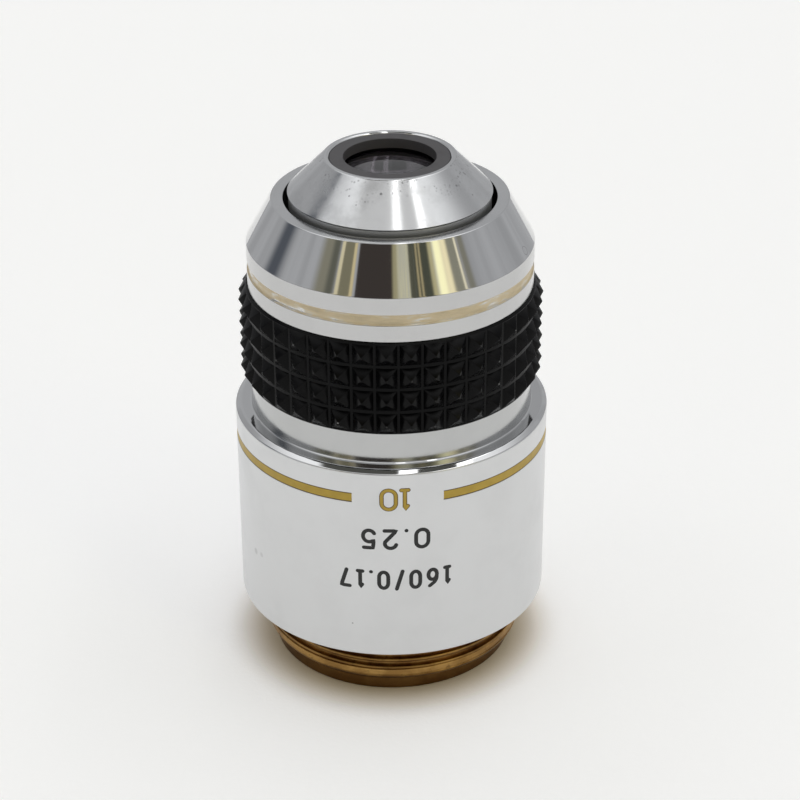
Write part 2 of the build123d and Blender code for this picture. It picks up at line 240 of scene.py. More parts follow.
@dataclass(frozen=True)
class TurnedChrome(Finish):
    """Chrome plate on turned brass, from satin to mirror polish."""

    tint: Colour = (0.63, 0.635, 0.64)
    roughness: float = 0.26
    grain: float = 0.5  # height of the turning marks, in micrometres
    grain_pitch: float = 0.14
    pits: float = 0.0  # 0 for none, 1 for many
    pit_zone: float = 0.0  # height in millimetres above which the small pits gather
    haze: float = 0.05  # how much handling dulls it in patches
    cloud_scale: float = 260.0
    pit_scale: float = 3400.0
    patch_scale: float = 900.0  # of the patches that hold the pits
    marks: tuple[Mark, ...] = ()

    def dress(self, graph: Graph) -> dict:
        """Turning marks, hazy patches and pits."""
        place = graph.place()
        x, y, z = graph.parts(place)
        radius = graph.radius(x, y)
        along = z + radius * 0.6
        grain = graph.noise(graph.vector(x * 40, y * 40, along / (self.grain_pitch * MM)), 1.0, 3.0, 0.6)
        patches = graph.noise(place, self.cloud_scale, 4.0, 0.6)
        cloud = graph.step(patches, 0.40, 0.72)
        height = grain * (self.grain * 1e-6)
        tint: Any = graph.blend(cloud * self.haze * 3, self.tint, tuple(c * 0.78 for c in self.tint))
        if self.pits:
            inputs = {"Vector": place, "Scale": self.pit_scale}
            cells = graph.value("ShaderNodeTexVoronoi", {"feature": "F1"}, inputs, "Distance")
            sparse = graph.step(graph.noise(place, self.patch_scale, 2.0), 0.56 - 0.1 * self.pits, 0.66)
            gather = graph.step(z, (self.pit_zone - 0.9) * MM, (self.pit_zone + 0.5) * MM)
            pit = (1 - graph.step(cells, 0.10, 0.42)) * sparse * gather
            tint = graph.blend(pit * 0.55, tint, (0.16, 0.16, 0.16))
            height = height - pit * 3e-6
        for mark in self.marks:
            spot = self.spot(graph, place, mark)
            tint = graph.blend(spot * mark.strength, tint, (0.12, 0.115, 0.12))
        return {
            "Base Color": tint,
            "Metallic": 1.0,
            "Roughness": cloud * self.haze + (self.roughness - 0.3 * self.haze),
            "Normal": graph.bump(height),
        }

    def spot(self, graph: Graph, place: Value, mark: Mark) -> Value:
        """Mask of one mark, soft at its edge."""
        size, line = mark.size * MM, mark.ring * MM
        ragged = graph.noise(place, 2600.0, 2.0) * (0.5 * size)
        away = graph.distance(place, around(mark.r, mark.z, mark.angle)) + ragged - 0.25 * size
        if line:
            return graph.band(away, size, size + line, 0.4 * line)
        return 1 - graph.step(away, 0.45 * size, size)


@dataclass(frozen=True)
class WornPaint(Finish):
    """Engraving paint rubbed away from the chrome under it."""

    paint: Colour = (0.62, 0.53, 0.38)
    chrome: Colour = (0.62, 0.62, 0.60)
    worn: float = 0.45
    scale: float = 420.0

    def dress(self, graph: Graph) -> dict:
        """Paint where the noise leaves it, chrome elsewhere."""
        x, y, z = graph.parts(graph.place())
        spread = graph.noise(graph.vector(x, y, z * 5), self.scale, 4.0, 0.65)
        paint = graph.step(spread, self.worn - 0.12, self.worn + 0.06)
        darker = tuple(c * 0.8 for c in self.paint)
        shade = graph.blend(graph.step(spread, 0.45, 0.75), self.paint, darker)
        return {
            "Base Color": graph.blend(paint, self.chrome, shade),
            "Metallic": 1 - paint,
            "Roughness": paint * 0.25 + 0.25,
            "Normal": graph.bump(paint * 6e-6),
        }


@dataclass(frozen=True)
class Lacquer(Finish):
    """Engraving paint that fills its groove, whose darker copy is painted shade at the groove's walls."""

    paint: Colour = (0.42, 0.29, 0.045)
    mottle: float = 0.25

    def dress(self, graph: Graph) -> dict:
        """Slightly uneven paint."""
        place = graph.place()
        uneven = graph.noise(place, 900.0, 3.0)
        shade = tuple(c * (1 - self.mottle) for c in self.paint)
        return {
            "Base Color": graph.blend(graph.step(uneven, 0.35, 0.7), self.paint, shade),
            "Roughness": uneven * 0.15 + 0.35,
            "Normal": graph.bump(uneven * 3e-6),
        }


@dataclass(frozen=True)
class BlackAnodise(Finish):
    """Black anodised aluminium, rubbed where hands touch it."""

    black: Colour = (0.0015, 0.0015, 0.0018)
    roughness: float = 0.24
    sheen: float = 0.10  # specular level
    rub_radius: float = 0.0  # radius in millimetres beyond which the tips are rubbed, or 0
    dust: float = 0.1

    def dress(self, graph: Graph) -> dict:
        """Fine etched texture, dust in patches and rubbed tips."""
        place = graph.place()
        x, y, _z = graph.parts(place)
        etch = graph.noise(place, 7000.0, 2.0)
        patches = graph.step(graph.noise(place, 380.0, 4.0, 0.6), 0.48, 0.72)
        tint: Any = graph.blend(patches * self.dust, self.black, (0.06, 0.06, 0.065))
        if self.rub_radius:
            radius = graph.radius(x, y)
            chance = graph.step(graph.noise(place, 700.0, 2.0), 0.55, 0.66)
            rub = graph.step(radius, (self.rub_radius - 0.03) * MM, self.rub_radius * MM) * chance
            tint = graph.blend(rub * 0.6, tint, (0.32, 0.32, 0.32))
        return {
            "Base Color": tint,
            "Roughness": patches * 0.12 + self.roughness,
            "Specular IOR Level": self.sheen,
            "Normal": graph.bump(etch * 1.0e-6),
        }


@dataclass(frozen=True)
class AgedBrass(Finish):
    """Brown, handled brass, brighter on the crests and darker low down."""

    bright: Colour = (0.50, 0.305, 0.10)
    brown: Colour = (0.20, 0.10, 0.03)
    foot: Colour = (0.12, 0.062, 0.022)
    corner: Point = (1.0, 1.5)  # heights of the painted shade in the corner under the thread
    pilot_radius: float = 9.4
    foot_height: float = 1.45
    crest_radius: float = 10.1
    roughness: float = 0.32

    def dress(self, graph: Graph) -> dict:
        """Stains along the turns and rubbed crests."""
        place = graph.place()
        x, y, z = graph.parts(place)
        radius = graph.radius(x, y)
        stain = graph.noise(graph.vector(x, y, z * 1.6), 420.0, 5.0, 0.66)
        rub = graph.step(radius, (self.crest_radius - 0.12) * MM, self.crest_radius * MM)
        amount = rub * 0.45 + graph.step(stain, 0.38, 0.62) * 0.5
        spots = graph.step(graph.noise(place, 1400.0, 3.0), 0.62, 0.70)
        tint = graph.blend(amount, self.brown, self.bright)
        tint = graph.blend(spots * 0.5, tint, (0.10, 0.055, 0.025))
        fade = self.foot_height * MM
        below = 1 - graph.step(z + stain * 0.8 * MM, fade + 0.2 * MM, fade + 0.7 * MM)
        tint = graph.blend(below * 0.75, tint, self.foot)
        pilot = self.pilot_radius * MM
        # painted shade on the pilot, in the corner under the collar's overhang
        corner_shade = graph.band(z, self.corner[0] * MM, self.corner[1] * MM, 0.06 * MM)
        corner_shade = corner_shade * (1 - graph.step(radius, pilot + 0.05 * MM, pilot + 0.25 * MM))
        tint = graph.blend(corner_shade * 0.85, tint, (0.02, 0.01, 0.003))
        return {
            "Base Color": tint,
            "Metallic": 1.0,
            "Roughness": stain * 0.2 + (self.roughness - 0.1),
            "Normal": graph.bump(stain * 8e-6),
        }


@dataclass(frozen=True)
class PlainMetal(Finish):
    """Turned metal inside the objective."""

    tint: Colour = (0.5, 0.5, 0.5)
    metallic: float = 1.0
    roughness: float = 0.35

    def dress(self, graph: Graph) -> dict:
        """Turning marks and a little unevenness."""
        x, y, z = graph.parts(graph.place())
        marks = graph.noise(graph.vector(x * 60, y * 60, z * 5200), 1.0, 3.0)
        return {
            "Base Color": graph.blend(marks, tuple(c * 0.85 for c in self.tint), self.tint),
            "Metallic": self.metallic,
            "Roughness": marks * 0.1 + self.roughness,
            "Normal": graph.bump(marks * 8e-7),
        }


@dataclass(frozen=True)
class LensGlass(Finish):
    """Polished optical glass with a faint coating and a trace of dust."""

    tint: Colour = (0.62, 0.56, 0.64)
    index: float = 1.6

    def dress(self, graph: Graph) -> dict:
        """Clear glass whose roughness rises a little under dust."""
        dust = graph.step(graph.noise(graph.place(), 1500.0, 4.0, 0.7), 0.62, 0.8)
        return {
            "Base Color": graph.blend(dust * 0.3, self.tint, (0.8, 0.78, 0.74)),
            "Roughness": dust * 0.08 + 0.01,
            "IOR": self.index,
            "Transmission Weight": 1.0,
        }


class Coat(Enum):
    """The finishes of this objective."""

    SATIN = TurnedChrome(
        "satin_chrome_barrel",
        tint=(0.665, 0.67, 0.675),
        roughness=0.30,
        grain=0.35,
        haze=0.05,
        marks=(
            Mark(-61, 12, 10.4, 0.35, 0.25),
            Mark(-56.5, 12, 10.55, 0.28, 0.2),
            Mark(-14.4, 12, 7.6, 0.09, 0.6),
        ),
    )
    NECK = TurnedChrome(
        "satin_chrome_neck", tint=(0.51, 0.515, 0.515), roughness=0.18, grain=0.3, haze=0.06
    )
    BAND = TurnedChrome("satin_chrome_band", tint=(0.56, 0.56, 0.56), roughness=0.20, grain=0.25)
    FLAT = TurnedChrome("satin_chrome_flat", roughness=0.17, grain=0.2, haze=0.08)
    POLISHED = TurnedChrome("polished_chrome", roughness=0.055, grain=0.02, haze=0.02)
    CONE = TurnedChrome(
        "polished_chrome_cone",
        roughness=0.055,
        grain=0.03,
        haze=0.02,
        marks=(Mark(69.5, 10.47, 34.73, 0.3, 0.3, 0.06), Mark(-88, 10.2, 35.2, 0.12, 0.5)),
    )
    NOSE = TurnedChrome(
        "satin_chrome_nose",
        roughness=0.17,
        grain=0.4,
        pits=1.3,
        pit_zone=39.9,
        haze=0.15,
        cloud_scale=420.0,
        marks=(
            Mark(-6.25, 5.63, 40.04, 0.13),
            Mark(-29.1, 5.95, 39.73, 0.11, 0.5),
            Mark(-16.6, 6.12, 39.55, 0.09, 0.5),
            Mark(-22.1, 6.35, 39.33, 0.09, 0.4),
            Mark(54.0, 5.9, 39.75, 0.12, 0.5),
            Mark(62.0, 6.75, 38.92, 0.10, 0.4),
            Mark(8.0, 5.5, 40.2, 0.09, 0.4),
        ),
    )
    SKIRT = TurnedChrome("dull_chrome_skirt", tint=(0.60, 0.61, 0.62), roughness=0.5, grain=0.5)
    GROOVE = WornPaint("worn_cream_paint", paint=(0.66, 0.55, 0.36))
    LINE = Lacquer("mustard_line_paint", paint=(0.50, 0.335, 0.03), mottle=0.12)
    # dark copy of the mustard: painted shade at the groove's walls and round the figures' edges
    LINE_WALL_SHADE = Lacquer("mustard_line_painted_shade", paint=(0.16, 0.105, 0.02))
    FIGURES = Lacquer("black_figure_paint", paint=(0.006, 0.006, 0.006), mottle=0.3)
    GRIP = BlackAnodise("black_grip_anodise", rub_radius=11.48, dust=0.06)
    CELL = BlackAnodise("black_cell_anodise", black=(0.085, 0.082, 0.087), roughness=0.45, sheen=0.3)
    INNER = BlackAnodise("matt_black_inside", black=(0.008, 0.008, 0.009), roughness=0.6)
    BRASS = AgedBrass("aged_brass_thread")
    BRIGHT_BRASS = PlainMetal("plain_turned_brass", tint=(0.62, 0.45, 0.2))
    STEEL = PlainMetal("plain_screw_steel", tint=(0.42, 0.42, 0.43))
    GLASS = LensGlass("optical_glass")


@dataclass(frozen=True)
class Corner:
    """A corner of a half section, in millimetres, with the coat of the wall that follows it."""

    r: float
    z: float
    ease: float = 0.0
    coat: Coat = Coat.SATIN


def run(coat: Coat, *points: tuple[float, ...]) -> list[Corner]:
    """Corners of one coat, each given as its radius, its height and its easing if it has one."""
    return [Corner(point[0], point[1], (*point, 0.0)[2], coat) for point in points]


def eased(outline: Sequence[Corner], hold: float = 0.02) -> list[Corner]:
    """Round the corners that have an easing, and hold the flats beside them.

    Args:
        outline: closed half section.
        hold: length of the flat strip that keeps the shading of a wall straight.

    Returns:
        The outline with each eased corner replaced by a short curve.
    """
    points: list[Corner] = []
    for index, corner in enumerate(outline):
        before, after = outline[index - 1], outline[(index + 1) % len(outline)]
        if not corner.ease:
            points.append(corner)
            continue
        here = Vector((corner.r, corner.z))
        back, ahead = Vector((before.r, before.z)) - here, Vector((after.r, after.z)) - here
        cut = min(corner.ease, 0.35 * back.length, 0.35 * ahead.length)
        extra = min(hold, 0.1 * back.length, 0.1 * ahead.length)
        back.normalize()
        ahead.normalize()
        curve = [here + back * (cut + extra)]
        for share in (0.0, 1 / 3, 2 / 3, 1.0):
            away = (1 - share) ** 2 * cut
            on = share**2 * cut
            curve.append(here + back * away + ahead * on)
        curve.append(here + ahead * (cut + extra))
        for place, point in enumerate(curve):
            coat = before.coat if place < 3 else corner.coat
            points.append(Corner(point.x, point.y, 0.0, coat))
    return points


def sagitta(radius: float, r: float) -> float:
    """Depth of a sphere's cap at a distance from its axis."""
    return radius - (radius**2 - r**2) ** 0.5


def even_angles(segments: int = SEGMENTS) -> list[float]:
    """Evenly spaced angles in degrees, from -180."""
    return [-180 + 360 * number / segments for number in range(segments)]


def link(name: str, mesh: bpy.types.Mesh) -> bpy.types.Object:
    """Put a mesh in the scene as an object at the origin."""
    piece = bpy.data.objects.new(name, mesh)
    bpy.context.scene.collection.objects.link(piece)
    return piece


def smooth(mesh: bpy.types.Mesh, sharp: float = SHARP) -> None:
    """Shade a mesh smooth up to its sharp edges."""
    mesh.shade_smooth()
    mesh.set_sharp_from_angle(angle=sharp)


def around(r: float, z: float, angle: float) -> tuple[float, float, float]:
    """Point in metres at a radius and height in millimetres and an angle in degrees."""
    turn = radians(angle)
    return (r * sin(turn) * MM, -r * cos(turn) * MM, z * MM)


def turned(
    name: str,
    section: Sequence[Corner] | Callable[[float], Sequence[Corner]],
    angles: Sequence[float] | None = None,
    closed: bool = True,
) -> bpy.types.Object:
    """Revolve a closed half section into a closed mesh.

    Args:
        name: the piece's name.
        section: corners in order, or a function of the angle that returns as many corners each time.
        angles: angles of the columns in degrees, rising.
        closed: whether the last column joins the first. An open sweep gets end caps.

    Returns:
        The piece, with one material for each coat in the section.
    """
    angles = list(angles or even_angles())
    sections = [section(angle) if callable(section) else section for angle in angles]
    count = len(sections[0])
    coats = list(dict.fromkeys(corner.coat for corner in sections[0]))
    shape = bmesh.new()
    grid = []
    for row, angle in zip(sections, angles):
        grid.append([shape.verts.new(around(corner.r, corner.z, angle)) for corner in row])
    spans = len(angles) if closed else len(angles) - 1
    for column in range(spans):
        near, far = grid[column], grid[(column + 1) % len(angles)]
        for row in range(count):
            face = shape.faces.new((near[row], near[(row + 1) % count], far[(row + 1) % count], far[row]))
            face.material_index = coats.index(sections[column][row].coat)
    if not closed:
        shape.faces.new(grid[0])
        shape.faces.new(list(reversed(grid[-1])))
    bmesh.ops.remove_doubles(shape, verts=shape.verts, dist=1e-9)
    bmesh.ops.recalc_face_normals(shape, faces=shape.faces)
    mesh = bpy.data.meshes.new(name)
    shape.to_mesh(mesh)
    shape.free()
    smooth(mesh)
    for coat in coats:
        mesh.materials.append(coat.value.material())
    return link(name, mesh)


def settle(piece: bpy.types.Object) -> bpy.types.Object:
    """Turn a piece with its modifiers into a plain mesh."""
    depsgraph = bpy.context.evaluated_depsgraph_get()
    mesh = bpy.data.meshes.new_from_object(piece.evaluated_get(depsgraph))
    piece.modifiers.clear()
    piece.data = mesh
    return piece


def carried(piece: bpy.types.Object, slot: str, *nodes: str) -> bpy.types.Object:
    """Fix a finished piece to the objective, in place of the named nodes."""
    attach(piece, ROOT)
    if nodes:
        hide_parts(*nodes)
    LOG.info("%s: %d faces", piece.name, len(piece.data.polygons))
    return piece


def low(node: str) -> float:
    """Lowest height of a node in millimetres."""
    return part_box(node)[0].z / MM


def high(node: str) -> float:
    """Highest height of a node in millimetres."""
    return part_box(node)[1].z / MM


def reach(node: str) -> float:
    """Outer radius of a node in millimetres."""
    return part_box(node)[1].x / MM


@dataclass
class Tree:
    """A Geometry Nodes tree with named inputs."""

    name: str

    def __post_init__(self) -> None:
        """Make the empty tree with its geometry sockets."""
        self.group = bpy.data.node_groups.new(self.name, "GeometryNodeTree")
        self.graph = Graph(self.group)
        self.names: dict[str, str] = {}
        self._socket("Geometry", "INPUT", "NodeSocketGeometry")
        self._socket("Geometry", "OUTPUT", "NodeSocketGeometry")
        self.entry = self.graph.node("NodeGroupInput")

    def _socket(self, name: str, way: str, kind: str) -> Any:
        """Declare one socket of the tree."""
        return self.group.interface.new_socket(name=name, in_out=way, socket_type=kind)

    def given(self, name: str, kind: str) -> Value:
        """Declare a named input and return its value."""
        self.names[name] = self._socket(name, "INPUT", kind).identifier
        return Value(self.graph, self.entry.outputs[name])

    def floats(self, *names: str) -> list[Value]:
        """Declare named number inputs and return their values."""
        return [self.given(name, "NodeSocketFloat") for name in names]

    def finish(self, added: Value, coat: Value) -> None:
        """Join what was made to the piece, in one coat, and end the tree in its output."""
        graph = self.graph
        join = graph.node("GeometryNodeJoinGeometry")
        for part in (Value(graph, self.entry.outputs["Geometry"]), added):
            graph.tree.links.new(part.socket, join.inputs[0])
        joined = Value(graph, join.outputs[0])
        whole = graph.value("GeometryNodeRealizeInstances", inputs={"Geometry": joined})
        coated = graph.value("GeometryNodeSetMaterial", inputs={"Geometry": whole, "Material": coat})
        graph.node("NodeGroupOutput", inputs={"Geometry": coated})

    def apply(self, piece: bpy.types.Object, **sizes: Any) -> bpy.types.Object:
        """Run the tree on a piece with these inputs, and keep the plain mesh."""
        modifier = piece.modifiers.new(self.name, "NODES")
        modifier.node_group = self.group
        for name, value in sizes.items():
            modifier[self.names[name.replace("_", " ")]] = value
        return settle(piece)


@dataclass
class Nose:
    """Nose cone, front cell and front lens."""

    rim_radius: float = 4.88
    rim_width: float = 0.3
    rim_bevel: float = 0.1
    bore_radius: float = 4.47
    skirt_radius: float = 7.5
    skirt_bore: float = 6.92
    undercut_radius: float = 7.3
    undercut_width: float = 0.06
    skirt_rise: float = 0.06
    height: float = 2.73
    cell_neck: float = 2.7
    cell_flange: float = 0.8
    cell_radius: float = 4.45
    stack_radius: float = 5.58
    opening_radius: float = 3.42
    lens_radius: float = 4.0
    lens_play: float = 0.02
    front_radius: float = 34.0
    back_radius: float = 9.0

    def build(self) -> None:
        """Build the three pieces."""
        self.cone()
        self.cell()
        self.lens()

    def cone(self) -> None:
        """Satin cap with a polished rim and an undercut below its base."""
        top, foot, base_radius = high("nose_cone"), low("nose_cone"), reach("nose_cone")
        base = top - self.height
        shoulder = high("front_lens_cell") - self.cell_neck
        lip = base - self.undercut_width
        rim = self.rim_radius - self.rim_width
        outline = eased(
            run(
                Coat.SKIRT,
                (self.skirt_bore, foot),
                (self.skirt_radius, foot),
                (self.skirt_radius, lip - self.skirt_rise, 0.02),
                (self.undercut_radius, lip),
            )
            + run(Coat.NOSE, (self.undercut_radius, base), (base_radius, base, CRISP))
            + run(Coat.POLISHED, (self.rim_radius, top, ROUND), (rim, top, CRISP))
            + run(
                Coat.NOSE,
                (self.bore_radius, top - self.rim_bevel, KEEN),
                (self.bore_radius, shoulder),
                (self.skirt_bore, shoulder),
            )
        )
        carried(turned("nose_cone_cap", outline), "nose_chrome", "nose_cone")

    def cell(self) -> None:
        """Black bush with the flat front ring and the recessed bore."""
        top, foot = high("front_lens_cell"), low("front_lens_cell")
        shoulder = top - self.cell_neck
        glass = high("front_flint_lens")
        flange_radius, flange_foot = reach("front_lens_cell"), shoulder - self.cell_flange
        seat = self.lens_radius + self.lens_play
        outline = eased(
            run(
                Coat.CELL,
                (self.opening_radius, top, SOFT),
                (self.cell_radius, top, SOFT),
                (self.cell_radius, shoulder),
                (flange_radius, shoulder),
                (flange_radius, flange_foot),
                (self.stack_radius, flange_foot),
                (self.stack_radius, foot),
                (seat, foot),
                (seat, glass),
                (self.opening_radius, glass),
            )
        )
        carried(turned("front_cell", outline), "black_anodised", "front_lens_cell")

    def lens(self) -> None:
        """Front doublet, whose two lenses are cemented and so make one glass body."""
        top, back = high("front_flint_lens"), low("front_crown_lens")
        steps = 16
        across = [self.lens_radius * number / steps for number in range(steps + 1)]
        front = [(r, top - sagitta(self.front_radius, r)) for r in across]
        rear = [(r, back + sagitta(self.back_radius, r)) for r in reversed(across)]
        bevel = (self.lens_radius, front[-1][1] - SOFT)
        outline = run(Coat.GLASS, *front, bevel, *rear)
        glass = turned("front_doublet_glass", outline, even_angles(120))
        carried(glass, "flint_glass", "front_flint_lens", "front_crown_lens")


@dataclass
class FrontCover:
    """Chromed front sleeve: flat, polished cone, band with the colour groove, and the ring's seat."""

    seat_radius: float = 10.4
    hub_bore: float = 9.62
    bore_radius: float = 8.9
    bore_step: float = 27.2
    hole_radius: float = 7.92
    hole_depth: float = 4.0
    flat_radius: float = 8.82
    cone_height: float = 3.38
    groove_offset: float = 1.32
    groove_width: float = 0.85
    groove_depth: float = 0.12

    def build(self) -> None:
        """Build the sleeve."""
        foot, top, band_radius = low("front_sleeve"), high("front_sleeve"), reach("front_sleeve")
        band = high("grip_ring")
        groove = band + self.groove_offset
        floor = band_radius - self.groove_depth
        groove_top, hole_foot = groove + self.groove_width, top - self.hole_depth
        outline = eased(
            run(
                Coat.BAND,
                (self.hub_bore, foot),
                (self.seat_radius, foot),
                (self.seat_radius, band),
                (band_radius, band, SOFT),
            )
            + run(
                Coat.GROOVE,
                (band_radius, groove, KEEN),
                (floor, groove + self.groove_depth, SOFT),
                (floor, groove_top - self.groove_depth, SOFT),
            )
            + run(Coat.BAND, (band_radius, groove_top, KEEN))
            + run(Coat.CONE, (band_radius, top - self.cone_height, CRISP))
            + run(
                Coat.FLAT,
                (self.flat_radius, top, SOFT),
                (self.hole_radius, top, CRISP),
                (self.hole_radius, hole_foot),
                (self.bore_radius, hole_foot),
                (self.bore_radius, self.bore_step),
                (self.hub_bore, self.bore_step),
            )
        )
        carried(turned("front_cover", outline), "mirror_chrome", "front_sleeve")


@dataclass
class Grip:
    """Black ring with rows of square pyramids between narrow flat grooves."""

    seat_radius: float = 10.42
    root_radius: float = 10.95
    tip_radius: float = 11.5
    rows: int = 4
    teeth: int = 40
    first_groove: float = 3.0
    groove_floor: float = 0.15
    tip_flat: float = 0.07
    sink: float = 0.08
    edge_bevel: float = 0.014
    shortest: float = 0.9985  # share of the full radius that the most worn pyramid keeps

    def pyramid(self, pitch: float) -> bpy.types.Object:
        """One pyramid that points to the front, with eased edges.

        Args:
            pitch: height of a row in millimetres.

        Returns:
            The source object, with its base at the ring's root radius.
        """
        half_angle = pi / self.teeth
        half_x = self.root_radius * sin(half_angle) - self.groove_floor / 2
        half_z = (pitch - self.groove_floor) / 2
        tip = self.tip_flat / 2
        root, top = self.root_radius * cos(half_angle), self.tip_radius - 0.004
        levels = ((half_x, half_z, root - self.sink), (half_x, half_z, root), (tip, tip, top))
        shape = bmesh.new()
        rings = []
        for x, z, r in levels:
            signs = ((-1, -1), (1, -1), (1, 1), (-1, 1))
            rings.append([shape.verts.new((sx * x * MM, -r * MM, sz * z * MM)) for sx, sz in signs])
        for lower, upper in zip(rings, rings[1:]):
            for side in range(4):
                follow = (side + 1) % 4
                shape.faces.new((lower[side], lower[follow], upper[follow], upper[side]))
        shape.faces.new(rings[-1])
        shape.faces.new(list(reversed(rings[0])))
        ridges = [edge for edge in shape.edges if any(v in rings[2] for v in edge.verts)]
        bmesh.ops.bevel(
            shape, geom=ridges, offset=self.edge_bevel * MM, segments=2, profile=0.5, affect="EDGES"
        )
        bmesh.ops.recalc_face_normals(shape, faces=shape.faces)
        mesh = bpy.data.meshes.new("grip_pyramid")
        shape.to_mesh(mesh)
        shape.free()
        smooth(mesh, radians(60))
        return link("grip_pyramid", mesh)

    def tree(self) -> Tree:
        """Tree that sets pyramids round the ring, each a little different."""
        tree = Tree("grip_pyramids")
        graph = tree.graph
        source = tree.given("Pyramid", "NodeSocketObject")
        teeth = tree.given("Teeth", "NodeSocketInt")
        rows = tree.given("Rows", "NodeSocketInt")
        foot, pitch, start = tree.floats("Foot height", "Row pitch", "First groove")
        seed = tree.given("Seed", "NodeSocketInt")
        coat = tree.given("Coat", "NodeSocketMaterial")
        index = graph.value("GeometryNodeInputIndex")
        row = graph.math("FLOOR", index / teeth)
        angle = start + (index - row * teeth + 0.5) * (2 * pi / teeth)
        points = graph.value("GeometryNodePoints", inputs={"Count": rows * teeth})
        lift = graph.vector(0.0, 0.0, foot + (row + 0.5) * pitch)
        points = graph.value("GeometryNodeSetPosition", inputs={"Geometry": points, "Position": lift})
        inputs = {"Min": self.shortest, "Max": 1.0, "Seed": seed}
        wear = graph.value("FunctionNodeRandomValue", {"data_type": "FLOAT"}, inputs, 1)
        pyramid = graph.value("GeometryNodeObjectInfo", inputs={"Object": source}, out="Geometry")
        spin = graph.value("FunctionNodeEulerToRotation", inputs={0: graph.vector(0.0, 0.0, angle)})
        scale = graph.vector(wear, wear, 1.0)
        inputs = {"Points": points, "Instance": pyramid, "Rotation": spin, "Scale": scale}
        tree.finish(graph.value("GeometryNodeInstanceOnPoints", inputs=inputs), coat)
        return tree

    def build(self) -> None:
        """Turn the ring's core and set the pyramids on it."""
        foot, top = low("grip_ring"), high("grip_ring")
        pitch = (top - foot) / self.rows
        lip = self.groove_floor / 2
        outline = run(
            Coat.GRIP,
            (self.seat_radius, foot),
            (self.root_radius - lip, foot),
            (self.root_radius, foot + lip),
            (self.root_radius, top - lip),
            (self.root_radius - lip, top),
            (self.seat_radius, top),
        )
        core = turned("knurled_grip_ring", outline)
        pyramid = self.pyramid(pitch)
        self.tree().apply(
            core,
            Pyramid=pyramid,
            Teeth=self.teeth,
            Rows=self.rows,
            Foot_height=foot * MM,
            Row_pitch=pitch * MM,
            First_groove=radians(self.first_groove),
            Seed=7,
            Coat=Coat.GRIP.value.material(),
        )
        bpy.data.objects.remove(pyramid)
        carried(core, "black_grip", "grip_ring")


@dataclass(frozen=True)
class Figure:
    """A character engraved on the barrel, upside down as the objective stands on its thread."""

    text: str
    angle: float  # middle, in degrees
    width: float
    foot: float  # height of the character's lower edge as it stands here
    height: float
    stroke: float = 0.3

    def paths(self) -> list[list[Point]]:
        """Middle lines of its strokes, from (0, 0) at the upright character's lower left to (1, 1)."""
        strokes: dict[str, list[list[Point]]] = {
            "0": [
                arc(0.5, 0.68, 0.5, 0.32, 0, 180)
                + arc(0.5, 0.32, 0.5, 0.32, 180, 360)
                + [(1.0, 0.68)]
            ],
            "1": [[(0.18, 0.83), (0.55, 1.0), (0.55, 0.0)], [(0.1, 0.0), (1.0, 0.0)]],
            "2": [arc(0.5, 0.73, 0.46, 0.27, 165, -20) + [(0.04, 0.0), (0.98, 0.0)]],
            "5": [[(0.9, 1.0), (0.16, 1.0), (0.1, 0.55)] + arc(0.48, 0.33, 0.48, 0.33, 125, -150)],
            "6": [
                [(0.82, 1.0)]
                + arc(0.9, 0.42, 0.88, 0.52, 115, 165)
                + arc(0.5, 0.31, 0.48, 0.31, 165, 540)
            ],
            "7": [[(0.02, 1.0), (0.98, 1.0), (0.36, 0.0)]],
            "/": [[(0.05, -0.05), (0.95, 1.05)]],
            ".": [[(0.5, 0.0), (0.52, 0.0)]],
        }
        return strokes[self.text]


def arc(x: float, y: float, rx: float, ry: float, start: float, end: float) -> list[Point]:
    """Points on an ellipse round (x, y), between two angles in degrees."""
    count = max(3, ceil(abs(end - start) / 15))
    turns = [radians(start + (end - start) * number / count) for number in range(count + 1)]
    return [(x + rx * cos(turn), y + ry * sin(turn)) for turn in turns]


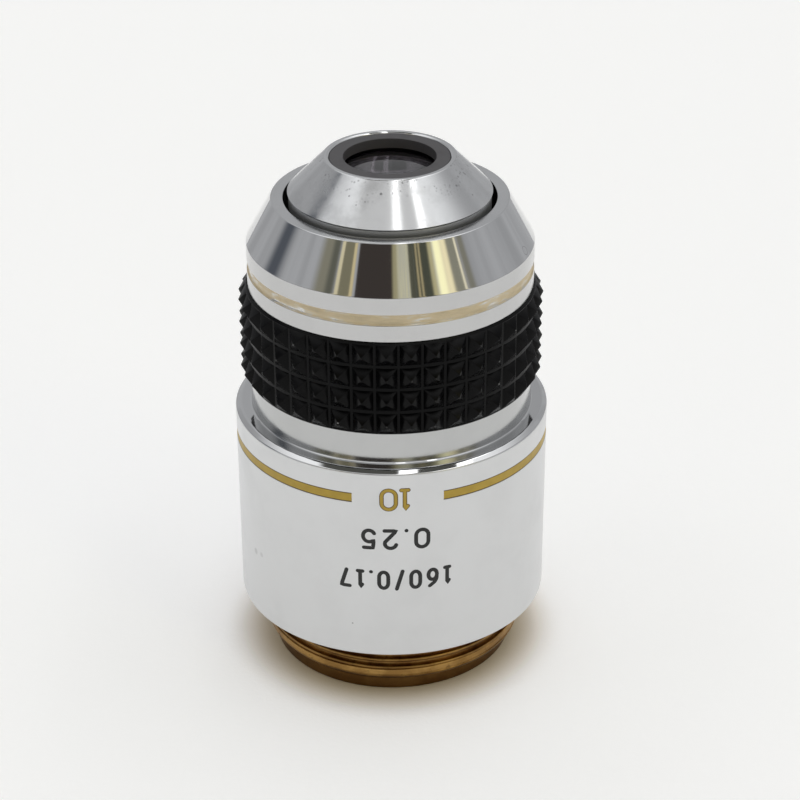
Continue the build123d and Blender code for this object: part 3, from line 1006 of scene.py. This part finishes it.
@dataclass
class Barrel:
    """Barrel with its engraved ring line, figures, polished rim, channel and neck."""

    bore_flange: float = 11.22
    bore_radius: float = 10.9
    bore_hub: float = 9.62
    flange_thickness: float = 2.5
    length: float = 15.8
    web: float = 2.2
    edge: float = 0.12
    bevel_width: float = 0.4
    bevel_height: float = 0.25
    channel_rise: float = 0.03
    channel_fillet: float = 0.14
    rim_ease: float = 0.08
    channel_ease: float = 0.10
    neck_radius: float = 10.75
    line_drop: float = 1.69
    line_width: float = 0.79
    line_depth: float = 0.06
    line_fill: float = 0.045
    line_wall: float = 0.02  # width of the groove's slanted wall
    line_shade_width: float = 0.07  # width of the painted shade at each wall
    gap_start: float = -14.0
    gap_end: float = 18.7
    skin: float = 0.006  # the wall stays this much inside the solid, so that paint can lie on it
    paint_height: float = 0.005
    # height of the painted shade under the mustard figures
    shade_height: float = 0.003
    shade_margin: float = 0.12  # how much narrower the mustard is than the painted shade under it
    paint_root: float = -0.02
    rows_middle: float = 1.4  # in degrees
    ten_row: tuple[float, float, float] = (17.62, 1.95, 0.34)  # foot, height and stroke
    aperture_row: tuple[float, float, float] = (14.3, 1.8, 5.2)  # foot, height and width
    tube_row: tuple[float, float, float] = (10.8, 1.7, 8.6)

    def __post_init__(self) -> None:
        """Take the heights from the frame."""
        self.radius = reach("barrel_sleeve") - self.skin
        self.foot = low("barrel_sleeve")
        self.rim = self.foot + self.length
        self.line = self.rim - self.line_drop - self.line_width

    def build(self) -> None:
        """Build the sleeve, the paint of its line and its figures."""
        gap_edges = [angle + side for angle in (self.gap_start, self.gap_end) for side in (-0.02, 0.02)]
        carried(
            turned("barrel", self.section, sorted({*even_angles(), *gap_edges})),
            "satin_chrome",
            "barrel_sleeve",
        )
        self.paint_line()
        for name, coat, figures in self.figures():
            self.engrave(name, coat, figures)

    def section(self, angle: float) -> list[Corner]:
        """Half section at one angle, with the line's groove outside its gap."""
        top = high("barrel_sleeve")
        channel, web_foot = self.rim + self.bevel_height, self.rim - self.web
        flange = self.foot + self.flange_thickness
        line_top = self.line + self.line_width
        floor = self.radius - (0.0 if self.gap_start < angle < self.gap_end else self.line_depth)
        return eased(
            run(
                Coat.SATIN,
                (self.bore_flange, self.foot),
                (self.radius, self.foot, self.edge),
                (self.radius, self.line),
                (floor, self.line + self.line_wall),
                (floor, line_top - self.line_wall),
                (self.radius, line_top),
            )
            + run(
                Coat.POLISHED,
                (self.radius, self.rim, self.rim_ease),
                (self.radius - self.bevel_width, channel, self.channel_ease),
            )
            + run(
                Coat.NECK,
                (self.neck_radius, channel + self.channel_rise, self.channel_fillet),
                (self.neck_radius, top, SOFT),
            )
            + run(
                Coat.SATIN,
                (self.bore_hub, top),
                (self.bore_hub, web_foot),
                (self.bore_radius, web_foot),
                (self.bore_radius, flange),
                (self.bore_flange, flange),
            )
        )

    def paint_line(self) -> None:
        """Paint that lies in the groove, with painted shade at each wall."""
        inner = self.radius - self.line_depth
        outer = inner + self.line_fill
        start, end = self.gap_end, self.gap_start + 360
        columns = ceil(end - start)
        angles = [start + (end - start) * number / columns for number in range(columns + 1)]
        foot, top = self.line + self.line_wall, self.line + self.line_width - self.line_wall
        outline = (
            run(Coat.LINE_WALL_SHADE, (inner, foot), (outer, foot))
            + run(Coat.LINE, (outer, foot + self.line_shade_width))
            + run(Coat.LINE_WALL_SHADE, (outer, top - self.line_shade_width), (outer, top), (inner, top))
        )
        carried(turned("ring_line_paint", outline, angles, closed=False), "line_paint")

    def figures(self) -> list[tuple[str, Coat, list[Figure]]]:
        """The magnification in mustard paint, and the aperture and tube figures in black."""
        ten = [Figure("0", -0.93, 1.39, *self.ten_row), Figure("1", 4.88, 0.9, *self.ten_row)]
        return [
            ("magnification", Coat.LINE, ten),
            ("aperture_figures", Coat.FIGURES, spread("0.25", self.rows_middle, *self.aperture_row)),
            ("tube_figures", Coat.FIGURES, spread("160/0.17", self.rows_middle, *self.tube_row)),
        ]

    def engrave(self, name: str, coat: Coat, figures: Sequence[Figure]) -> None:
        """Set characters on the barrel as thin paint, the mustard ones with painted shade round their
        edge.

        Args:
            name: the piece's name.
            coat: the paint.
            figures: characters with their places.
        """
        with_wall_shade = coat is Coat.LINE
        # a wider dark layer under the mustard is painted shade at the engraving's walls
        layers = [(-self.shade_margin if with_wall_shade else 0.0, self.paint_height, coat)]
        if with_wall_shade:
            layers.insert(0, (0.0, self.shade_height, Coat.LINE_WALL_SHADE))
        shape = bmesh.new()
        for number, (grow, proud, _coat) in enumerate(layers):
            for figure in figures:
                for path in figure.paths():
                    self.stroke(shape, figure, path, figure.stroke + grow, proud, number)
        bmesh.ops.recalc_face_normals(shape, faces=shape.faces)
        mesh = bpy.data.meshes.new(name)
        shape.to_mesh(mesh)
        shape.free()
        for _grow, _proud, layer in layers:
            mesh.materials.append(layer.value.material())
        carried(link(name, mesh), "line_paint" if with_wall_shade else "black_anodised")

    def stroke(
        self,
        shape: bmesh.types.BMesh,
        figure: Figure,
        path: Sequence[Point],
        width: float,
        proud: float,
        material: int,
    ) -> None:
        """Add one round-ended stroke of paint that follows the barrel's wall.

        Args:
            shape: the mesh to add to.
            figure: the character that it belongs to.
            path: its middle line.
            width: its width in millimetres.
            proud: how far it stands off the wall.
            material: number of its paint.
        """
        left, head = (figure.width - figure.stroke) / 2, figure.foot + figure.height - figure.stroke / 2
        wide, tall = figure.width - figure.stroke, figure.height - figure.stroke
        line = []
        for x, y in path:
            spot = Vector((left - x * wide, head - y * tall))
            if line and (spot - line[-1]).length > 0.35:
                count = ceil((spot - line[-1]).length / 0.2)
                line += [line[-1].lerp(spot, number / count) for number in range(1, count)]
            line.append(spot)
        half, last = width / 2, len(line) - 1
        ahead = [(line[min(i + 1, last)] - line[max(i - 1, 0)]).normalized() for i in range(last + 1)]
        sides = [Vector((-way.y, way.x)) for way in ahead]
        rows = [(spot, side * half) for spot, side in zip(line, sides)]
        closed = (line[0] - line[-1]).length < 1e-6
        if closed:
            rows.pop()
        else:
            for turn in (radians(30), radians(55), radians(80)):
                out, narrow = half * sin(turn), half * cos(turn)
                rows.insert(0, (line[0] - ahead[0] * out, sides[0] * narrow))
                rows.append((line[-1] + ahead[-1] * out, sides[-1] * narrow))
        root = self.paint_root
        rings = []
        for spot, side in rows:
            ring = []
            for way, lift in ((-1, proud), (1, proud), (1, root), (-1, root)):
                end = spot + side * way
                turn = figure.angle + degrees(end.x / self.radius)
                ring.append(shape.verts.new(around(self.radius + lift, end.y, turn)))
            rings.append(ring)
        faces = []
        for near, far in list(zip(rings, rings[1:])) + ([(rings[-1], rings[0])] if closed else []):
            for side in range(4):
                follow = (side + 1) % 4
                faces.append(shape.faces.new((near[side], near[follow], far[follow], far[side])))
        if not closed:
            faces.append(shape.faces.new(rings[-1]))
            faces.append(shape.faces.new(list(reversed(rings[0]))))
        for face in faces:
            face.material_index = material


def spread(text: str, middle: float, foot: float, height: float, width: float) -> list[Figure]:
    """Space characters evenly along a line of this width, upside down.

    Args:
        text: characters, read from right to left as the objective stands here.
        middle: angle of the line's middle in degrees.
        foot: height of the line's lower edge.
        height: height of a digit.
        width: width of the whole line.

    Returns:
        One figure for each character.
    """
    shares = {".": 0.28, "/": 0.8, "1": 0.72}
    radius = 12.0
    total = sum(shares.get(mark, 1.0) + 0.32 for mark in text) - 0.32
    unit = width / total
    place = width / 2
    figures = []
    for mark in text:
        share = shares.get(mark, 1.0)
        angle = middle + degrees((place - share * unit / 2) / radius)
        if mark == ".":
            figures.append(Figure(mark, angle, 0.34, foot + height - 0.34, 0.34))
        else:
            figures.append(Figure(mark, angle, share * unit, foot, height))
        place -= (share + 0.32) * unit
    return figures


@dataclass
class Mount:
    """Brass core with its thread, pilot, flange and hub."""

    pilot_radius: float = 9.4
    pilot_length: float = 1.35
    foot_chamfer: float = 0.2
    root_radius: float = 9.78
    crest_radius: float = 10.155
    pitch: float = 25.4 / 36
    crest_width: float = 0.33
    flank: float = 27.5  # half the thread's angle, in degrees
    first_crest: float = 1.79  # height of the lowest full crest at the front
    turns: float = 4.25
    start_angle: float = 90.0  # in degrees, so that the thread starts at the back
    ridge_sink: float = 0.02
    collar_radius: float = 10.06
    collar_from: float = 1.72
    collar_to: float = 2.2
    run_in: float = 0.1  # height of the slopes below the collar
    run_out: float = 0.12  # height of the slope above it
    relief_radius: float = 9.45
    relief_length: float = 0.65
    flange_thickness: float = 2.5
    hub_radius: float = 9.6
    hub_bore: float = 7.52
    rear_bore: float = 7.2
    shelf_bore: float = 6.15
    shelf_height: float = 5.1
    shelf_thickness: float = 2.0

    def tree(self) -> Tree:
        """Tree that sweeps one thread ridge up the core, with its ends run out."""
        tree = Tree("mount_thread")
        graph = tree.graph
        turns, pitch, root = tree.floats("Turns", "Pitch", "Root radius")
        start, phase = tree.floats("Start height", "Start angle")
        crest, base, depth = tree.floats("Crest width", "Base width", "Depth")
        coat = tree.given("Coat", "NodeSocketMaterial")
        inputs = {"Resolution": 120, "Rotations": turns, "Start Radius": root, "End Radius": root}
        path = graph.value("GeometryNodeCurveSpiral", inputs={**inputs, "Height": turns * pitch})
        factor = graph.value("GeometryNodeSplineParameter", out="Factor")
        growth, fade, least = 4, 3, 0.02  # grows over a fourth of a turn and fades over a third
        rise = graph.math("MINIMUM", factor * turns * growth, (1 - factor) * turns * fade)
        swell = graph.math("MINIMUM", rise + least, 1.0)
        path = graph.value("GeometryNodeSetCurveRadius", inputs={"Curve": path, "Radius": swell})
        path = graph.value("GeometryNodeSetCurveNormal", {"mode": "Z_UP"}, {"Curve": path})
        profile = graph.value(
            "GeometryNodeCurvePrimitiveQuadrilateral",
            {"mode": "TRAPEZOID"},
            {"Height": depth, "Bottom Width": base, "Top Width": crest, "Offset": 0.0},
        )
        profile = graph.value(
            "GeometryNodeFilletCurve",
            {"mode": "POLY"},
            {"Curve": profile, "Count": 3, "Radius": crest * 0.3, "Limit Radius": True},
        )
        lift = graph.vector(0.0, depth / 2, 0.0)
        profile = graph.value("GeometryNodeTransform", inputs={"Geometry": profile, "Translation": lift})
        inputs = {"Curve": path, "Profile Curve": profile, "Fill Caps": True}
        ridge = graph.value("GeometryNodeCurveToMesh", inputs=inputs)
        lift, turn = graph.vector(0.0, 0.0, start), graph.vector(0.0, 0.0, phase)
        inputs = {"Geometry": ridge, "Translation": lift, "Rotation": turn}
        ridge = graph.value("GeometryNodeTransform", inputs=inputs)
        tree.finish(ridge, coat)
        return tree

    def build(self) -> None:
        """Turn the core and wind the thread on it."""
        top, flange_radius = high("mount_body"), reach("mount_body")
        shoulder = low("barrel_sleeve")
        flange = shoulder + self.flange_thickness
        shelf = shoulder + self.shelf_height
        shelf_top = shelf + self.shelf_thickness
        relief = shoulder - self.relief_length
        outline = eased(
            run(
                Coat.BRASS,
                (self.rear_bore, 0, SOFT),
                (self.pilot_radius, 0, self.foot_chamfer),
                (self.pilot_radius, self.pilot_length),
                (self.root_radius, self.pilot_length + self.run_in),
                (self.root_radius, self.collar_from - self.run_in),
                (self.collar_radius, self.collar_from, ROUND),
                (self.collar_radius, self.collar_to, ROUND),
                (self.root_radius, self.collar_to + self.run_out),
                (self.root_radius, relief),
                (self.relief_radius, relief),
                (self.relief_radius, shoulder),
                (flange_radius, shoulder),
                (flange_radius, flange),
                (self.hub_radius, flange),
                (self.hub_radius, top),
                (self.hub_bore, top),
                (self.hub_bore, shelf_top),
                (self.shelf_bore, shelf_top),
                (self.shelf_bore, shelf),
                (self.rear_bore, shelf),
            )
        )
        foot = self.root_radius - self.ridge_sink
        depth = self.crest_radius - foot
        flanks = 2 * depth * tan(radians(self.flank))
        core = turned("threaded_core", outline)
        self.tree().apply(
            core,
            Turns=self.turns,
            Pitch=self.pitch * MM,
            Root_radius=foot * MM,
            Start_height=(self.first_crest - self.pitch / 2) * MM,
            Start_angle=radians(self.start_angle),
            Crest_width=self.crest_width * MM,
            Base_width=(self.crest_width + flanks) * MM,
            Depth=depth * MM,
            Coat=Coat.BRASS.value.material(),
        )
        smooth(core.data, radians(20))
        carried(core, "aged_brass", "mount_body")


@dataclass
class Inside:
    """Nodes that keep their solid and get a better finish."""

    coats: tuple[tuple[Coat, tuple[str, ...]], ...] = (
        (Coat.GLASS, ("front_crown_lens", "rear_flint_lens", "rear_crown_lens")),
        (Coat.INNER, ("front_lens_retainer", "rear_lens_retainer", "rear_lens_cell", "aperture_stop")),
        (Coat.INNER, ("spacer_tube", "lens_tube", "tube_nut", "rear_baffle")),
        (Coat.BRIGHT_BRASS, ("parfocal_shim",)),
        (Coat.STEEL, ("centring_screws",)),
    )

    def dress(self, nodes: dict[str, bpy.types.Object]) -> None:
        """Give each node its coat."""
        for coat, names in self.coats:
            for name in names:
                mesh = nodes[name].data
                mesh.materials.clear()
                mesh.materials.append(coat.value.material())
                LOG.info("%s: %s", name, coat.value.name)


@dataclass(frozen=True)
class Card:
    """Flag or warm strip that stands round the set and shows in the polished cone."""

    azimuth: float  # middle, in degrees from the front towards +X
    width: float
    colour: Colour
    bottom: float = 8.0
    top: float = 44.0
    edge: float = 0.8
    speckle: float = 0.0  # how uneven it is, from 0 to 1


@dataclass(frozen=True)
class Lamp:
    """Long ceiling lamp along Y. Places are tangents of the angle from the vertical."""

    left: float
    right: float
    front: float
    back: float
    strength: float


@dataclass
class Studio:
    """Pale floor, grey walls, white ceiling, two ceiling lamps, flags, and the camera."""

    wall: Colour = (0.47, 0.475, 0.485)
    ceiling: Colour = (1.25, 1.26, 1.27)
    front_ceiling: Colour = (0.80, 0.80, 0.80)
    rise_from: float = 31.0
    rise_to: float = 60.0
    floor_tint: Colour = (0.86, 0.86, 0.86)
    # strength of the floor's painted glow, which stands in for bounced light
    painted_floor_glow: float = 0.31
    floor_brass_bounce: Colour = (0.80, 0.70, 0.52)
    painted_foot_shadow: Point = (9.4, 14.0)  # radii between which the painted contact shadow gives way to the painted glow
    bounce_reach: Point = (9.0, 14.0)  # radii between which the painted warm reflection of the brass fades out on the paper
    dark_across: Point = (-0.46, 0.52)  # dark part of the ceiling, in tangents from the vertical
    dark_along: Point = (-0.30, 0.34)
    dark_tint: Colour = (0.10, 0.10, 0.09)
    floor_size: float = 0.36
    focal: float = 2232.0  # of the photograph, in its pixels
    frame: float = 800.0
    sensor: float = 36.0
    eye: Vector = Vector((0.665, -152.1, 101.97))
    pitch: float = 28.19
    roll: float = -0.25

    def build(self) -> None:
        """Set up floor, light and camera."""
        self.lay_floor()
        self.light()
        self.look()

    def cards(self) -> tuple[Card, ...]:
        """Flags and strips from left to right."""
        olive, gold, night = (0.30, 0.285, 0.22), (0.85, 0.76, 0.50), (0.06, 0.05, 0.045)
        return (
            Card(-104.0, 14.0, (0.11, 0.12, 0.14), 6, 40, 5.0),
            Card(-57.0, 14.0, olive, 12, 44, 4.0),
            Card(-51.0, 7.0, (0.15, 0.15, 0.12), 12, 44, 2.5),
            Card(-38.0, 12.0, (0.26, 0.24, 0.16)),
            Card(-45.0, 3.0, gold),
            Card(-33.0, 2.6, (0.78, 0.66, 0.38)),
            Card(-13.0, 33.0, night),
            Card(4.5, 5.0, (0.44, 0.40, 0.24), 12, 44, 1.5),
            Card(12.0, 12.0, (0.75, 0.71, 0.48), 12, 44, 1.5, 0.6),
            Card(19.5, 5.0, (0.11, 0.11, 0.08), 12, 44, 1.0),
            Card(30.0, 17.0, (0.09, 0.095, 0.07)),
            Card(24.5, 1.4, (0.6, 0.5, 0.28)),
            Card(27.5, 1.4, (0.6, 0.5, 0.28)),
            Card(38.0, 4.0, (0.62, 0.56, 0.32), 12, 44, 1.5),
            Card(45.0, 8.0, (1.5, 1.43, 0.86), 12, 44, 2.0),
            Card(52.0, 8.0, (1.24, 1.10, 0.70), 12, 44, 3.0),
            Card(59.0, 10.0, (0.33, 0.32, 0.25), 12, 44, 2.0),
            Card(63.0, 1.6, (1.2, 1.1, 0.8)),
            Card(68.5, 6.0, (0.28, 0.27, 0.22), 12, 44, 2.0),
        )

    def lamps(self) -> tuple[Lamp, ...]:
        """The two ceiling lamps."""
        return (Lamp(0.045, 0.16, -0.62, 0.5, 2.4), Lamp(0.42, 0.53, -0.62, 0.5, 2.6))

    def light(self) -> None:
        """World whose light depends on the direction alone."""
        world = bpy.data.worlds.new("soft_studio")
        world.use_nodes = True
        bpy.context.scene.world = world
        graph = Graph(world.node_tree)
        x, y, z = graph.parts(graph.value("ShaderNodeTexCoord", out="Generated"))
        azimuth = graph.math("ARCTAN2", x, 0 - y) * (180 / pi)
        elevation = graph.math("ARCSINE", z) * (180 / pi)
        direction = graph.vector(x, y, z)
        streaks = graph.noise(graph.vector(azimuth * 0.09, elevation * 0.012, 0.0), 1.0, 3.0)
        dim, bright = (tuple(c * share for c in self.wall) for share in (0.9, 1.12))
        wall = graph.blend(graph.step(streaks, 0.3, 0.7), dim, bright)
        front = graph.band(azimuth, -62.0, 62.0, 18.0)
        ceiling = graph.blend(front, self.ceiling, self.front_ceiling)
        colour: Any = graph.blend(graph.step(elevation, self.rise_from, self.rise_to), wall, ceiling)
        up = graph.math("MAXIMUM", z, 0.02)
        across, along = x / up, y / up
        overhead = graph.step(z, 0.1, 0.2)
        dark = graph.band(across, *self.dark_across, 0.03) * graph.band(along, *self.dark_along, 0.03)
        colour = graph.blend(dark * overhead, colour, self.dark_tint)
        for card in self.cards():
            half = card.width / 2
            side = graph.band(azimuth, card.azimuth - half, card.azimuth + half, card.edge)
            mask = side * graph.band(elevation, card.bottom, card.top, 2.0)
            if card.speckle:
                uneven = graph.step(graph.noise(direction, 55.0, 3.0), 0.38, 0.62)
                mask = mask * (1 - (1 - uneven) * card.speckle)
            colour = graph.blend(mask, colour, card.colour)
        for lamp in self.lamps():
            mask = graph.band(across, lamp.left, lamp.right, 0.01)
            mask = mask * graph.band(along, lamp.front, lamp.back, 0.03)
            colour = graph.blend(mask * overhead, colour, (lamp.strength,) * 3)
        background = graph.value("ShaderNodeBackground", inputs={"Color": colour, "Strength": 1.0})
        graph.node("ShaderNodeOutputWorld", inputs={"Surface": background})

    def lay_floor(self) -> None:
        """Pale sheet with a painted glow for bounced light, a painted contact shadow round the foot, and
        a painted warm reflection of the brass.
        """
        half = self.floor_size / 2
        mesh = bpy.data.meshes.new("floor")
        edges = ((-half, -half, 0), (half, -half, 0), (half, half, 0), (-half, half, 0))
        mesh.from_pydata(edges, [], [(0, 1, 2, 3)])
        paper = bpy.data.materials.new("pale_paper")
        paper.use_nodes = True
        graph = Graph(paper.node_tree)
        place = graph.place()
        tooth = graph.noise(place, 2500.0, 2.0)
        x, y, _z = graph.parts(place)
        away = graph.radius(x, y)
        # painted warm reflection of the brass on the paper round the foot
        reflected_brass = 1 - graph.step(away, *(r * MM for r in self.bounce_reach))
        clear = graph.step(away, *(r * MM for r in self.painted_foot_shadow))
        inputs = {
            "Base Color": graph.blend(reflected_brass, self.floor_tint, self.floor_brass_bounce),
            "Roughness": 0.9,
            "Normal": graph.bump(tooth * 2e-5),
            # the glow is painted light, and its dark colour near the foot is a painted contact shadow
            "Emission Color": graph.blend(clear, (0.02, 0.01, 0.0), (1.0, 1.0, 1.0)),
            "Emission Strength": self.painted_floor_glow,
        }
        shader = graph.value("ShaderNodeBsdfPrincipled", inputs=inputs)
        graph.node("ShaderNodeOutputMaterial", inputs={"Surface": shader})
        mesh.materials.append(paper)
        link("floor", mesh)

    def look(self) -> None:
        """Camera where the photograph was taken from."""
        camera = bpy.data.cameras.new("camera")
        camera.sensor_width = self.sensor
        camera.lens = self.focal / self.frame * self.sensor
        camera.clip_start = 0.005
        holder = bpy.data.objects.new("camera", camera)
        bpy.context.scene.collection.objects.link(holder)
        tilt = Matrix.Rotation(radians(90 - self.pitch), 4, "X")
        roll = Matrix.Rotation(radians(self.roll), 4, "Z")
        holder.matrix_world = Matrix.Translation(self.eye * MM) @ tilt @ roll
        bpy.context.scene.camera = holder
        bpy.context.scene.view_settings.view_transform = "Standard"


def main() -> None:
    """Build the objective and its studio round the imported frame."""
    logging.basicConfig(level=logging.INFO, format="%(message)s")
    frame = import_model()
    Mount().build()
    Barrel().build()
    Grip().build()
    FrontCover().build()
    Nose().build()
    Inside().dress(frame["nodes"])
    Studio().build()


if __name__ == "__main__":
    main()
